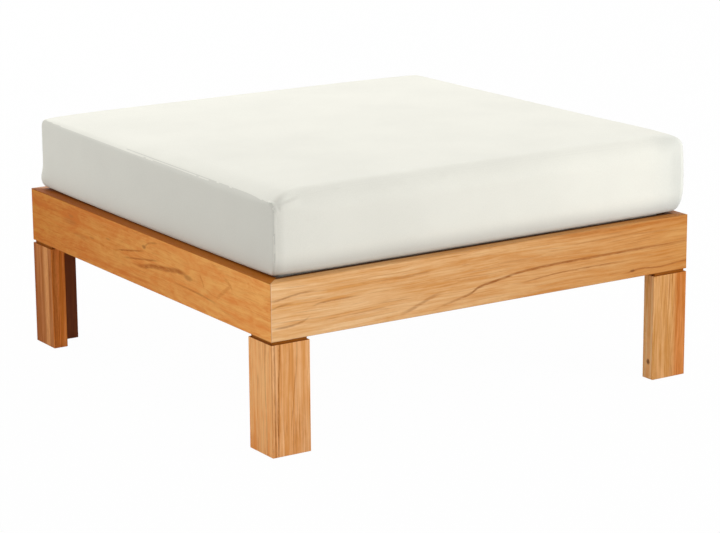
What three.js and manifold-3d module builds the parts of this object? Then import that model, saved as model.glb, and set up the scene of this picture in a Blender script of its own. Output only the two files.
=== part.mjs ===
import * as THREE from "three";
import { RoundedBoxGeometry } from "three/addons/geometries/RoundedBoxGeometry.js";
import { mergeVertices } from "three/addons/utils/BufferGeometryUtils.js";
import Module from "manifold-3d";

// Outdoor ottoman: a mitred teak frame on four L-shaped legs, a slatted deck and a loose cushion.
// Millimetres, +Z up. The origin is on the floor under the middle, and the front rail faces -Y.

const wasm = await Module();
wasm.setup();

// Frame
const frameWidth = 800; // left to right, over the rails
const frameDepth = 800; // front to back, over the rails
const frameHeight = 273; // floor to the top of the rails
const railHeight = 91.5;
const railThickness = 27;
const arris = 1.2; // rounding of the long edges of rails and legs
const arrisSteps = 1;

// Fits
const joint = 0.3; // glue line, or running gap between two pieces that touch
const overrun = 5; // how far a cutter reaches beyond the face that it opens

// Splines in the mitres
const splineThickness = 5;
const splineDepth = 20; // across the mitre, half in each board
const splineStop = 15; // from each end of the mitre to the spline
const splinePlaceShare = 0.55; // of the board's thickness, from its outer face

// Legs
const legWidth = 68; // of each board, measured from the outer corner
const legThickness = 26;
const grooveHeight = 4.5; // the shadow groove between rail and leg
const grooveDepth = 3.5;
const legTenonThickness = 12;
const legTenonWidth = 30;
const legTenonLength = 36;
const legTenonPlace = 32; // from the outer corner to the tenon

// Corner blocks
const blockReach = 62; // along each rail
const blockTip = 14; // what is left of each acute tip
const blockHeight = 56;
const blockSeat = 16; // wood left under each screw's head
const blockScrewPlace = 46; // from the inner corner to the screw

// Ledgers and the centre bearer
const ledgerWidth = 22;
const ledgerHeight = 26;
const ledgerScrews = 4;
const ledgerScrewPlace = 40; // from the ledger's end to its first screw
const bearerWidth = 32;
const bearerHeight = 42;
const bearerShoulder = 5; // from the bearer's faces to its tenon's
const bearerTenonLength = 12;

// Deck slats
const deckDrop = 12; // from the top of the rails down to the slats
const slatCount = 10;
const slatWidth = 60;
const slatThickness = 15;
const slatArris = 2.5;
const slatEndGap = 3; // slat's end to the side rail
const deckEdgeGap = 6; // outermost slats to the front and back rails
const slatScrewInset = 14; // from the slat's end to its screws
const slatScrewSpread = 32; // between the two screws of an end

// Screws
const screwSides = 10;
const blockScrew = { shank: 2.5, head: 5.5, rise: 3.2, length: 33, point: 4 };
const ledgerScrew = { shank: 2, head: 4.5, rise: 2.6, length: 36, point: 3.5 };
const slatHole = { shank: 2.2, head: 4.4, sink: 2.6 };
const slatHoleSides = 8;
const counterboreRoom = 1.5; // round a sunk head

// Cushion, measured from the opening inside the rails
const cushionRise = 122; // from the top of the rails to the cushion's top edges
const cushionCrown = 7; // of the top, above its edges
const cornerDrop = 4; // of the top corners, below the edges
const cushionTuck = 13; // of the bottom edge, inside the opening
const cushionFit = 0.8; // to the rails, level with their top
const overhang = 14; // of the sides over the rails
const lipRise = 17; // from the rails' top to the full overhang
const sideBulge = 3; // of the middle of each side
const rollRadius = 16; // of the top's front and back edges
const coverWall = 4; // fabric with its quilted lining
const foamFit = 0.5;
const curvePower = { lip: 1.6, edge: 1.4, flat: 6, corner: 4 };
const coverForm = { grid: 14, lip: 2, flank: 4, roll: 2 };
const innerForm = { grid: 6, lip: 1, flank: 2, roll: 1 };

// Zip in the back panel
const zipInset = 77; // from each end of the back panel to the zip
const tapeHeight = 12; // of each of the two tapes
const tapeThickness = 0.9;
const coilHeight = 3;
const coilDepth = 2.3;
const placketDepth = 2; // how far the panel is pressed flat behind the tapes
const slitHeight = 4;
const sliderGap = 0.4;
const slider = { length: 14, width: 10, nose: 4, plate: 2 };
const bridge = { length: 10, height: 4.5, bar: 1.5, width: 2.4 }; // on the slider, for the pull
const bridgeSteps = 6;
const pull = { axle: 0.8, room: 2, arm: 1.2, eye: 7, tab: 17, tabWidth: 7 };
const zipEndGap = 8; // from the tapes' end to the closed slider's

// Derived places
const innerWidth = frameWidth - 2 * railThickness;
const innerDepth = frameDepth - 2 * railThickness;
const railBottom = frameHeight - railHeight;
const legTop = railBottom - grooveHeight;
const deckTop = frameHeight - deckDrop;
const bearingTop = deckTop - slatThickness - joint;
const zipLength = innerWidth + 2 * (overhang - zipInset);

const material = (color, roughness, metalness = 0) =>
  new THREE.MeshStandardMaterial({ color, roughness, metalness });
const teak = material("#c98a4b", 0.6);
const innerTeak = material("#b57a44", 0.7);
const canvas = material("#efeee2", 0.9);
const foam = material("#e8dfb8", 0.95);
const zipFabric = material("#dcdace", 0.8);
const nickel = material("#b9b9b6", 0.3, 1);
const stainless = material("#a9aaa8", 0.35, 1);

// Solids

function solid(geometry) {
  const bare = geometry.clone();
  bare.deleteAttribute("normal");
  bare.deleteAttribute("uv");
  const merged = mergeVertices(bare);
  const vertProperties = new Float32Array(merged.attributes.position.array);
  const triVerts = new Uint32Array(merged.index.array);
  return new wasm.Manifold(new wasm.Mesh({ numProp: 3, vertProperties, triVerts }));
}

function meshOf(name, shape, finish) {
  const { vertProperties, triVerts } = shape.getMesh();
  const indexed = new THREE.BufferGeometry();
  indexed.setAttribute("position", new THREE.BufferAttribute(vertProperties, 3));
  indexed.setIndex(new THREE.BufferAttribute(triVerts, 1));
  const geometry = indexed.toNonIndexed();
  geometry.computeVertexNormals();
  const mesh = new THREE.Mesh(geometry, finish);
  mesh.name = name;
  return mesh;
}

const spanBox = (xs, ys, zs) => [xs, ys, zs].map(([low, high]) => high - low);
const middle = (xs, ys, zs) => [xs, ys, zs].map(([low, high]) => (low + high) / 2);

function block(...spans) {
  return solid(new THREE.BoxGeometry(...spanBox(...spans)).translate(...middle(...spans)));
}

function easedBoard(ease, ...spans) {
  const geometry = new RoundedBoxGeometry(...spanBox(...spans), arrisSteps, ease);
  return solid(geometry.translate(...middle(...spans)));
}

function plate(points, [low, high]) {
  const outline = new THREE.Shape(points.map(([x, y]) => new THREE.Vector2(x, y)));
  const geometry = new THREE.ExtrudeGeometry(outline, { depth: high - low, bevelEnabled: false });
  return solid(geometry.translate(0, 0, low));
}

function revolved(points, sides) {
  const profile = points.map(([radius, height]) => new THREE.Vector2(radius, height));
  return new THREE.LatheGeometry(profile, sides);
}

// Revolved forms are made along +Y, so a screw points to -Y with its head at the origin.
function screwGeometry({ shank, head, rise, length, point }) {
  return revolved(
    [
      [0, -length],
      [shank, point - length],
      [shank, 0],
      [head, 0],
      [head, rise / 2],
      [head / 2, rise],
      [0, rise],
    ],
    screwSides,
  );
}

function boreAlongY(radius, [low, high]) {
  const geometry = new THREE.CylinderGeometry(radius, radius, high - low, screwSides);
  return solid(geometry.translate(0, (low + high) / 2, 0));
}

// A side of the frame has its length along X and its outer face at y = -reach. Each side's pieces
// are made in that place and turned about Z to where they belong.
const sides = [
  { name: "front", corner: "front_left", length: frameWidth, reach: frameDepth / 2 },
  { name: "right", corner: "front_right", length: frameDepth, reach: frameWidth / 2 },
  { name: "back", corner: "back_right", length: frameWidth, reach: frameDepth / 2 },
  { name: "left", corner: "back_left", length: frameDepth, reach: frameWidth / 2 },
];
const carriesLedger = (side) => side.name === "left" || side.name === "right";

// All that lies between a side's two mitres, half a glue line short of each, with the frame's
// rounded outer corners.
function mitredSpace({ length, reach }) {
  const depth = railThickness + overrun;
  const outer = length / 2 + overrun - (joint / 2) * Math.SQRT2;
  const inner = outer - depth - overrun;
  const heights = [-overrun, frameHeight + overrun];
  const wedge = plate(
    [
      [-outer, -reach - overrun],
      [outer, -reach - overrun],
      [inner, depth - reach],
      [-inner, depth - reach],
    ],
    heights,
  );
  return wedge.intersect(easedBoard(arris, [-length / 2, length / 2], [-reach, reach], heights));
}

// Splines stand upright in the mitres, square across them. End is -1 at the side's start.
function splineBox([low, high], room) {
  const grow = (size) => size + 2 * room;
  return new THREE.BoxGeometry(grow(splineDepth), grow(splineThickness), grow(high - low));
}

function splinePlace({ length, reach }, thickness, [low, high], end) {
  const inset = thickness * splinePlaceShare;
  return new THREE.Matrix4()
    .makeRotationZ((end * Math.PI) / 4)
    .setPosition(end * (length / 2 - inset), inset - reach, (low + high) / 2);
}

function splineSlot(side, thickness, heights, end) {
  const place = splinePlace(side, thickness, heights, end);
  return solid(splineBox(heights, joint).applyMatrix4(place));
}

function splineMesh(name, side, thickness, heights) {
  const mesh = new THREE.Mesh(splineBox(heights, 0), innerTeak);
  mesh.applyMatrix4(splinePlace(side, thickness, heights, -1));
  mesh.name = name;
  return mesh;
}

const railSplineHeights = [railBottom + splineStop, frameHeight - splineStop];
const legSplineHeights = [splineStop, legTop - splineStop];

// Legs

function legTenon({ length, reach }, end, room) {
  const near = end * (length / 2 - legTenonPlace + room);
  const far = end * (length / 2 - legTenonPlace - legTenonWidth - room);
  const centre = legThickness / 2 - reach;
  const half = legTenonThickness / 2 + room;
  return block(
    [Math.min(near, far), Math.max(near, far)],
    [centre - half, centre + half],
    [legTop, railBottom + legTenonLength + room],
  );
}

// One board of an L-shaped leg, cut back all round at its top to leave the shadow groove.
function legBoard(side, end, space) {
  const { length, reach } = side;
  const along = (from, to) => [end * (length / 2 - from), end * (length / 2 - to)].sort((a, b) => a - b);
  const board = easedBoard(arris, along(-overrun, legWidth), [-reach, legThickness - reach], [0, legTop]);
  const neck = block(
    along(-overrun, legWidth - grooveDepth),
    [grooveDepth - reach, legThickness - grooveDepth - reach],
    [legTop - overrun, railBottom - joint],
  );
  return board
    .add(neck)
    .intersect(space)
    .add(legTenon(side, end, 0))
    .subtract(splineSlot(side, legThickness, legSplineHeights, end));
}

// Rails

const blockScrewHeight = bearingTop - blockHeight / 2;
const ledgerScrewHeight = bearingTop - ledgerHeight / 2;
const ledgerLength = innerDepth - 2 * (blockReach + joint);

// The hole for a screw whose head sits at y = seat, at a place along the rail and a height.
function screwHole(screw, x, seat, height) {
  const reach = [seat - screw.length - joint, seat + overrun];
  return boreAlongY(screw.shank + joint, reach).translate([x, 0, height]);
}

function bearerTenon(reach, room) {
  const face = railThickness - reach;
  const half = bearerWidth / 2 - bearerShoulder + room;
  return block(
    [-half, half],
    [face - bearerTenonLength - room, face + joint + overrun],
    [bearingTop - bearerHeight + bearerShoulder - room, bearingTop - bearerShoulder + room],
  );
}

function ledgerScrewPlaces() {
  const span = ledgerLength - 2 * ledgerScrewPlace;
  return Array.from({ length: ledgerScrews }, (_, i) => (i / (ledgerScrews - 1) - 1 / 2) * span);
}

function railSolid(side, space) {
  const { length, reach } = side;
  const face = railThickness - reach;
  const ends = [-length / 2 - overrun, length / 2 + overrun];
  let rail = easedBoard(arris, ends, [-reach, face], [railBottom, frameHeight]).intersect(space);
  for (const end of [-1, 1]) {
    const x = end * (length / 2 - railThickness - joint - blockScrewPlace);
    rail = rail
      .subtract(legTenon(side, end, joint))
      .subtract(splineSlot(side, railThickness, railSplineHeights, end))
      .subtract(screwHole(blockScrew, x, face + joint + blockSeat, blockScrewHeight));
  }
  if (!carriesLedger(side)) return rail.subtract(bearerTenon(reach, joint));
  for (const x of ledgerScrewPlaces()) {
    rail = rail.subtract(screwHole(ledgerScrew, x, face + joint + ledgerWidth, ledgerScrewHeight));
  }
  return rail;
}

// Corner blocks, with a counterbored screw into each of the two rails

function cornerBlockSolid() {
  const outline = [
    [0, 0],
    [blockReach, 0],
    [blockReach, blockTip],
    [blockTip, blockReach],
    [0, blockReach],
  ];
  const bore = boreAlongY(blockScrew.shank + joint, [-overrun, blockSeat + overrun]);
  const sink = boreAlongY(blockScrew.head + counterboreRoom, [blockSeat, blockReach]);
  const alongY = bore.add(sink).translate([blockScrewPlace, 0, blockHeight / 2]);
  const alongX = bore.add(sink).rotate([0, 0, -90]).translate([0, blockScrewPlace, blockHeight / 2]);
  return plate(outline, [0, blockHeight]).subtract(alongY).subtract(alongX);
}

function cornerPieces({ corner, length, reach }) {
  const group = new THREE.Group();
  const inset = railThickness + joint;
  group.position.set(inset - length / 2, inset - reach, bearingTop - blockHeight);
  const intoOwnRail = new THREE.Mesh(screwGeometry(blockScrew), stainless);
  intoOwnRail.name = `${corner}_block_screw_a`;
  intoOwnRail.position.set(blockScrewPlace, blockSeat + joint, blockHeight / 2);
  const intoNextRail = new THREE.Mesh(screwGeometry(blockScrew), stainless);
  intoNextRail.name = `${corner}_block_screw_b`;
  intoNextRail.position.set(blockSeat + joint, blockScrewPlace, blockHeight / 2);
  intoNextRail.rotation.z = -Math.PI / 2;
  group.add(meshOf(`${corner}_corner_block`, cornerBlockSolid(), innerTeak), intoOwnRail, intoNextRail);
  return group;
}

// Ledgers carry the slats' ends between the corner blocks

function ledgerPieces({ name, reach }) {
  const group = new THREE.Group();
  group.position.set(0, railThickness + joint - reach, bearingTop - ledgerHeight);
  let ledger = block([-ledgerLength / 2, ledgerLength / 2], [0, ledgerWidth], [0, ledgerHeight]);
  ledgerScrewPlaces().forEach((x, i) => {
    const bore = boreAlongY(ledgerScrew.shank + joint, [-overrun, ledgerWidth + overrun]);
    ledger = ledger.subtract(bore.translate([x, 0, ledgerHeight / 2]));
    const screw = new THREE.Mesh(screwGeometry(ledgerScrew), stainless);
    screw.name = `${name}_ledger_screw_${i + 1}`;
    screw.position.set(x, ledgerWidth + joint, ledgerHeight / 2);
    group.add(screw);
  });
  group.add(meshOf(`${name}_ledger`, ledger, innerTeak));
  return group;
}

function sideGroup(side, i) {
  const group = new THREE.Group();
  group.rotation.z = (i * Math.PI) / 2;
  const space = mitredSpace(side);
  const nextCorner = sides[(i + 1) % sides.length].corner;
  group.add(
    meshOf(`${side.name}_rail`, railSolid(side, space), teak),
    meshOf(`${side.corner}_leg_${side.name}_board`, legBoard(side, -1, space), teak),
    meshOf(`${nextCorner}_leg_${side.name}_board`, legBoard(side, 1, space), teak),
    splineMesh(`${side.corner}_rail_spline`, side, railThickness, railSplineHeights),
    splineMesh(`${side.corner}_leg_spline`, side, legThickness, legSplineHeights),
    cornerPieces(side),
  );
  if (carriesLedger(side)) group.add(ledgerPieces(side));
  return group;
}

// Deck

function bearerMesh() {
  const half = bearerWidth / 2;
  const reach = innerDepth / 2 - joint;
  const body = block([-half, half], [-reach, reach], [bearingTop - bearerHeight, bearingTop]);
  const tenon = bearerTenon(frameDepth / 2, 0);
  return meshOf("centre_bearer", body.add(tenon).add(tenon.rotate([0, 0, 180])), innerTeak);
}

function slatSolid() {
  const length = innerWidth - 2 * slatEndGap;
  const half = slatThickness / 2;
  const { shank, head, sink } = slatHole;
  const hole = revolved(
    [
      [0, -half - overrun],
      [shank, -half - overrun],
      [shank, half - sink],
      [head, half],
      [head, half + overrun],
      [0, half + overrun],
    ],
    slatHoleSides,
  ).rotateX(Math.PI / 2);
  const cutter = solid(hole);
  const across = [-slatWidth / 2, slatWidth / 2];
  let slat = easedBoard(slatArris, [-length / 2, length / 2], across, [-half, half]);
  for (const end of [-1, 1]) {
    for (const y of [-slatScrewSpread / 2, slatScrewSpread / 2]) {
      slat = slat.subtract(cutter.translate([end * (length / 2 - slatScrewInset), y, 0]));
    }
  }
  return slat.subtract(cutter);
}

function deckGroup() {
  const group = new THREE.Group();
  group.add(bearerMesh());
  const run = innerDepth - 2 * deckEdgeGap - slatWidth;
  const shape = slatSolid();
  for (let i = 0; i < slatCount; i += 1) {
    const slat = meshOf(`deck_slat_${i + 1}`, shape, innerTeak);
    slat.position.set(0, (i / (slatCount - 1) - 1 / 2) * run, deckTop - slatThickness / 2);
    group.add(slat);
  }
  return group;
}

// Cushion

const cushionBottom = deckTop + joint;
const cushionTop = frameHeight + cushionRise;

// The side's profile from bottom to top: it widens from inside the opening to the full overhang,
// bulges up the flank and rolls over the top edge. Spread is measured from the opening.
function sideLevels({ lip, flank, roll }) {
  const lipTop = frameHeight + lipRise;
  const rollBottom = cushionTop - rollRadius;
  const bulge = (height) => Math.sin((Math.PI * (height - lipTop)) / (cushionTop - lipTop));
  const levels = [
    { height: cushionBottom, spread: -cushionTuck, bulge: 0, roll: 0 },
    { height: frameHeight, spread: -cushionFit, bulge: 0, roll: 0 },
  ];
  for (let i = 1; i <= lip; i += 1) {
    const share = i / lip;
    const spread = (overhang + cushionFit) * (1 - (1 - share) ** curvePower.lip) - cushionFit;
    levels.push({ height: frameHeight + lipRise * share, spread, bulge: 0, roll: 0 });
  }
  for (let i = 1; i <= flank; i += 1) {
    const height = lipTop + ((rollBottom - lipTop) * i) / flank;
    levels.push({ height, spread: overhang, bulge: bulge(height), roll: 0 });
  }
  for (let i = 1; i <= roll; i += 1) {
    const angle = (Math.PI / 2) * (i / roll);
    const height = rollBottom + rollRadius * Math.sin(angle);
    const inset = rollRadius * (1 - Math.cos(angle));
    levels.push({ height, spread: overhang, bulge: bulge(height), roll: inset });
  }
  return levels;
}

// A box whose levels follow that profile. Its front and back edges roll over, its left and right
// edges are seams, its top is crowned, and its top corners are drawn down.
function cushionSolid(form, inset) {
  const levels = sideLevels(form);
  const geometry = new THREE.BoxGeometry(1, 1, 1, form.grid, form.grid, levels.length - 1);
  const place = geometry.attributes.position;
  const tall = cushionTop - cushionBottom;
  const eased = (share) => Math.sign(share) * (1 - (1 - Math.abs(share)) ** curvePower.edge);
  for (let i = 0; i < place.count; i += 1) {
    const u = eased(2 * place.getX(i));
    const v = eased(2 * place.getY(i));
    const level = levels[Math.round((place.getZ(i) + 1 / 2) * (levels.length - 1))];
    const lift = (level.height - cushionBottom) / tall;
    const bulge = (share) => level.bulge * sideBulge * (1 - share ** curvePower.flat);
    const crown = cushionCrown * (1 - u * u) * (1 - v * v);
    const drop = cornerDrop * (u * v) ** (2 * curvePower.corner);
    place.setXYZ(
      i,
      u * (innerWidth / 2 + level.spread - inset + bulge(v)),
      v * (innerDepth / 2 + level.spread - inset + bulge(u) - level.roll),
      cushionBottom + inset + lift * (tall - 2 * inset + crown - drop),
    );
  }
  return solid(geometry);
}

const zipFace = innerDepth / 2 + overhang + sideBulge - placketDepth;
const zipHeight = (frameHeight + lipRise + cushionTop) / 2;

// The cover is a shell that opens at the slit behind the zip.
function coverSolid() {
  const tape = zipLength / 2 + joint;
  const slit = tape - slider.length;
  const placket = tapeHeight + 2 * joint;
  return cushionSolid(coverForm, 0)
    .subtract(cushionSolid(innerForm, coverWall))
    .subtract(
      block(
        [-tape, tape],
        [zipFace, zipFace + placketDepth + overrun],
        [zipHeight - placket, zipHeight + placket],
      ),
    )
    .subtract(
      block(
        [-slit, slit],
        [zipFace - 2 * coverWall, zipFace + overrun],
        [zipHeight - slitHeight / 2, zipHeight + slitHeight / 2],
      ),
    );
}

// Zip: made with its length along X, its face to +Y and the middle of its chain at the origin

// Stands a geometry that was extruded along Z with its length along X, and its X and Y as Y and Z.
function laidAlongX(geometry) {
  const basis = new THREE.Matrix4().makeBasis(
    new THREE.Vector3(0, 1, 0),
    new THREE.Vector3(0, 0, 1),
    new THREE.Vector3(1, 0, 0),
  );
  return geometry.applyMatrix4(basis);
}

// Half of the chain lies on the edge of each tape. Way is 1 for the upper tape.
function tapeMesh(name, way) {
  const outline = [
    [0, joint / 2],
    [coilDepth, joint / 2],
    [coilDepth, coilHeight / 2],
    [tapeThickness, coilHeight],
    [tapeThickness, tapeHeight],
    [0, tapeHeight],
  ].map(([depth, height]) => new THREE.Vector2(depth, way * height));
  const settings = { depth: zipLength, bevelEnabled: false };
  const geometry = new THREE.ExtrudeGeometry(new THREE.Shape(outline), settings);
  const mesh = new THREE.Mesh(laidAlongX(geometry.translate(0, 0, -zipLength / 2)), zipFabric);
  mesh.position.y = joint;
  mesh.name = name;
  return mesh;
}

const plateTop = joint + coilDepth + sliderGap + slider.plate;
const pullAxle = plateTop + bridge.bar;

// A wedge-nosed plate with an arched bridge for the pull.
function sliderMesh() {
  const half = slider.length / 2;
  const outline = [
    [-half, slider.nose / 2],
    [-half, -slider.nose / 2],
    [0, -slider.width / 2],
    [half, -slider.width / 2],
    [half, slider.width / 2],
    [0, slider.width / 2],
  ];
  const flat = plate(outline, [-slider.plate, 0]).rotate([-90, 0, 0]);
  const { bar, height, width } = bridge;
  const outer = bridge.length / 2;
  const inner = outer - bar;
  const arch = new THREE.Shape();
  arch.moveTo(-outer, -slider.plate / 2);
  arch.lineTo(-inner, -slider.plate / 2);
  arch.lineTo(-inner, bar);
  arch.quadraticCurveTo(0, 2 * (height - bar) - bar, inner, bar);
  arch.lineTo(inner, -slider.plate / 2);
  arch.lineTo(outer, -slider.plate / 2);
  arch.lineTo(outer, bar);
  arch.quadraticCurveTo(0, 2 * height - bar, -outer, bar);
  const settings = { depth: width, bevelEnabled: false, curveSegments: bridgeSteps };
  const archSolid = solid(new THREE.ExtrudeGeometry(arch, settings).translate(0, 0, -width / 2));
  const mesh = meshOf("back_zip_slider", flat.add(archSolid), nickel);
  mesh.position.y = plateTop;
  return mesh;
}

// A tab with an eye round the bridge. It turns on the bar of the eye, which lies along Z.
function pullMesh() {
  const { axle, room, arm, eye, tab, tabWidth } = pull;
  const outline = new THREE.Shape([
    new THREE.Vector2(axle, -room - arm),
    new THREE.Vector2(axle, room + arm),
    new THREE.Vector2(-eye, room + arm),
    new THREE.Vector2(-eye - arm, tabWidth / 2),
    new THREE.Vector2(-eye - tab, tabWidth / 2),
    new THREE.Vector2(-eye - tab - arm, 0),
    new THREE.Vector2(-eye - tab, -tabWidth / 2),
    new THREE.Vector2(-eye - arm, -tabWidth / 2),
    new THREE.Vector2(-eye, -room - arm),
  ]);
  outline.holes.push(
    new THREE.Path([
      new THREE.Vector2(-axle, -room),
      new THREE.Vector2(-eye, -room),
      new THREE.Vector2(-eye, room),
      new THREE.Vector2(-axle, room),
    ]),
  );
  const geometry = new THREE.ExtrudeGeometry(outline, { depth: 2 * axle, bevelEnabled: false });
  const mesh = new THREE.Mesh(geometry.translate(0, 0, -axle).rotateX(Math.PI / 2), nickel);
  mesh.position.y = pullAxle;
  mesh.name = "back_zip_pull";
  return mesh;
}

function zipGroup() {
  const group = new THREE.Group();
  group.position.set(0, zipFace, zipHeight);
  const travelling = new THREE.Group();
  travelling.position.x = zipLength / 2 - zipEndGap - slider.length / 2;
  travelling.add(sliderMesh(), pullMesh());
  group.add(tapeMesh("back_zip_upper_tape", 1), tapeMesh("back_zip_lower_tape", -1), travelling);
  return group;
}

function cushionGroup() {
  const group = new THREE.Group();
  const core = cushionSolid(innerForm, coverWall + foamFit);
  group.add(meshOf("cushion_cover", coverSolid(), canvas), meshOf("cushion_foam", core, foam), zipGroup());
  return group;
}

const ottoman = new THREE.Group();
ottoman.add(...sides.map(sideGroup), deckGroup(), cushionGroup());

export default ottoman;
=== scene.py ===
import math

import bmesh
import bpy
import numpy as np
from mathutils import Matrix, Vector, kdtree


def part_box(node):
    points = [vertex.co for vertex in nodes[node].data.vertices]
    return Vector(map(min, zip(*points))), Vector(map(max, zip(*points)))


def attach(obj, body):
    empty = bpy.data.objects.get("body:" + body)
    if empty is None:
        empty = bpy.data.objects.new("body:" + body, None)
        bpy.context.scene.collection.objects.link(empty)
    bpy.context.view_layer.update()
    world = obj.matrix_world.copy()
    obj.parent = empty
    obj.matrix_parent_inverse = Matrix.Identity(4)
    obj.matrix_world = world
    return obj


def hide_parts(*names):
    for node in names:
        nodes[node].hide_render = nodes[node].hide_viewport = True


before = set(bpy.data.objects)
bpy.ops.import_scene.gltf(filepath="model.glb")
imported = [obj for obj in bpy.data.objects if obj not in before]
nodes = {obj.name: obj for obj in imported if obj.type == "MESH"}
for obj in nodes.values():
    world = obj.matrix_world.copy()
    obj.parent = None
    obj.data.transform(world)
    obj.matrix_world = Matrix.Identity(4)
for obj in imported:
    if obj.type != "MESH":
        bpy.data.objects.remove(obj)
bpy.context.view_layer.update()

# Outdoor ottoman: lights and dresses the imported frame and cushion. Metres, +Z up, front rail faces -Y.


# Camera, stage and light

CAMERA_PLACE, CAMERA_DEGREES = (-2.34185, -3.64962, 1.25525), (75.8065, 0.4133, -32.9808)
LENS, SENSOR = 131.864, 36
CLIP = (0.05, 100)
WHITE = (1.0, 1.0, 1.0)
AMBIENT = 0.55
SLOPE = (0.07, -0.1, 0.1)  # growth of the ambient level with its direction
FLOOR = 0.73
FLOOR_GLOW = 0.985  # share of plain white in the floor as seen
FLOOR_EDGE = 12
FLOOR_DROP = 0.0004  # keeps the floor just clear of the feet
SQUARE = ((-1, -1), (1, -1), (1, 1), (-1, 1))
AIM = (0.0, 0.0, 0.25)
LAMPS = (  # name, place, size, and the level it gives a white face turned to it
    ("key", (0.145, 3.625, 3.37), 2.6, 0.56),
    ("right_front", (1.45, -1.95, 0.8), 1.1, 0.375),
    ("left_back", (-2.5, 1.35, 0.75), 1.2, 0.178),
)


def place_object(name, data, *materials):
    for material in materials:
        data.materials.append(material)
    made = bpy.data.objects.new(name, data)
    bpy.context.scene.collection.objects.link(made)
    return made


def mesh_object(name, vertices, faces, *materials):
    mesh = bpy.data.meshes.new(name)
    mesh.from_pydata([tuple(v) for v in vertices], [], faces)
    return place_object(name, mesh, *materials)


def store(grid, mesh):
    """Put a bmesh into a mesh, its faces turned outward."""
    bmesh.ops.recalc_face_normals(grid, faces=grid.faces)
    grid.to_mesh(mesh)
    grid.free()


def grid_object(name, grid, material, body):
    """A piece from a bmesh, riding on a body."""
    mesh = bpy.data.meshes.new(name)
    store(grid, mesh)
    made = place_object(name, mesh, material)
    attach(made, body)


def make_camera():
    data = bpy.data.cameras.new("camera")
    data.sensor_fit = "HORIZONTAL"
    data.sensor_width = SENSOR
    data.lens = LENS
    data.clip_start, data.clip_end = CLIP
    camera = place_object("camera", data)
    camera.location = CAMERA_PLACE
    camera.rotation_euler = [math.radians(a) for a in CAMERA_DEGREES]
    bpy.context.scene.camera = camera


def add(kind, values=(), out=0, named=None, tree=None, **settings):
    """One shader node in a linked socket's tree or a given one, its inputs in order or by name."""
    given = [*enumerate(values), *(named or {}).items()]
    sources = {key: value for key, value in given if isinstance(value, bpy.types.NodeSocket)}
    tree = tree or next(iter(sources.values())).id_data
    node = tree.nodes.new("ShaderNode" + kind)
    for key, value in settings.items():
        setattr(node, key, value)
    for key, value in given:
        socket = node.inputs[key]
        if key in sources:
            tree.links.new(value, socket)
        else:
            socket.default_value = (*value, 1.0) if socket.type == "RGBA" else value
    return node.outputs[out]


def calc(operation, *values):
    return add("Math", values, operation=operation)


def times(first, *others):
    for value in others:
        first = calc("MULTIPLY", first, value)
    return first


def vector(operation, *values):
    return add("VectorMath", values, operation=operation)


def scaled(value, share):
    return add("VectorMath", named={0: value, "Scale": share}, operation="SCALE")


def length(value):
    return add("VectorMath", (value,), out=1, operation="LENGTH")


def split(value):
    """The x, y and z of a vector."""
    return add("SeparateXYZ", (value,)).node.outputs


def remap(value, low, high, start=0.0, end=1.0, **settings):
    """From start at low to end at high, and level beyond them."""
    return add("MapRange", (value, low, high, start, end), **settings)


def ease(value, low, high):
    """0 below low, 1 above high, smooth between. Low may be the greater one."""
    limits = (low, high, 0.0, 1.0) if low <= high else (high, low, 1.0, 0.0)
    return remap(value, *limits, interpolation_type="SMOOTHSTEP")


def blend(share, a, b, mode="MIX"):
    """Colour a, a socket or plain red, green and blue, with a share of colour b."""
    settings = {"data_type": "RGBA", "blend_type": mode, "clamp_factor": True}
    return add("Mix", out=2, named={0: share, 6: a, 7: b}, **settings)


def noise(place, scales, detail=2.0, roughness=0.5, distortion=0.0, seed=None, out=0):
    """Noise from 0 to 1 with its own scale along each axis, in features a metre."""
    spread = vector("MULTIPLY", place, scales)
    if seed is not None:
        spread = vector("ADD", spread, seed)
    return add("TexNoise", out=out, named={
        "Vector": spread, "Scale": 1.0, "Detail": detail, "Roughness": roughness, "Distortion": distortion,
    })


def seen_directly(tree):
    path = tree.nodes.new("ShaderNodeLightPath").outputs
    mirrored = calc("MAXIMUM", path["Is Glossy Ray"], path["Is Transmission Ray"])
    return calc("MAXIMUM", path["Is Camera Ray"], mirrored)


def new_material(name):
    material = bpy.data.materials.new(name)
    material.use_nodes = True
    material.node_tree.nodes.clear()
    return material, material.node_tree


def finish(surface, kind="Material"):
    tree = surface.id_data
    tree.links.new(surface, tree.nodes.new("ShaderNodeOutput" + kind).inputs[0])


def principled(colour, roughness, bump, others):
    """The shader with a bump of a strength, distance and height, and other sockets by name."""
    strength, distance, height = bump
    normal = add("Bump", named={"Strength": strength, "Distance": distance, "Height": height})
    surface = {"Base Color": colour, "Roughness": roughness, "Normal": normal, **others}
    finish(add("BsdfPrincipled", named=surface))


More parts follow.
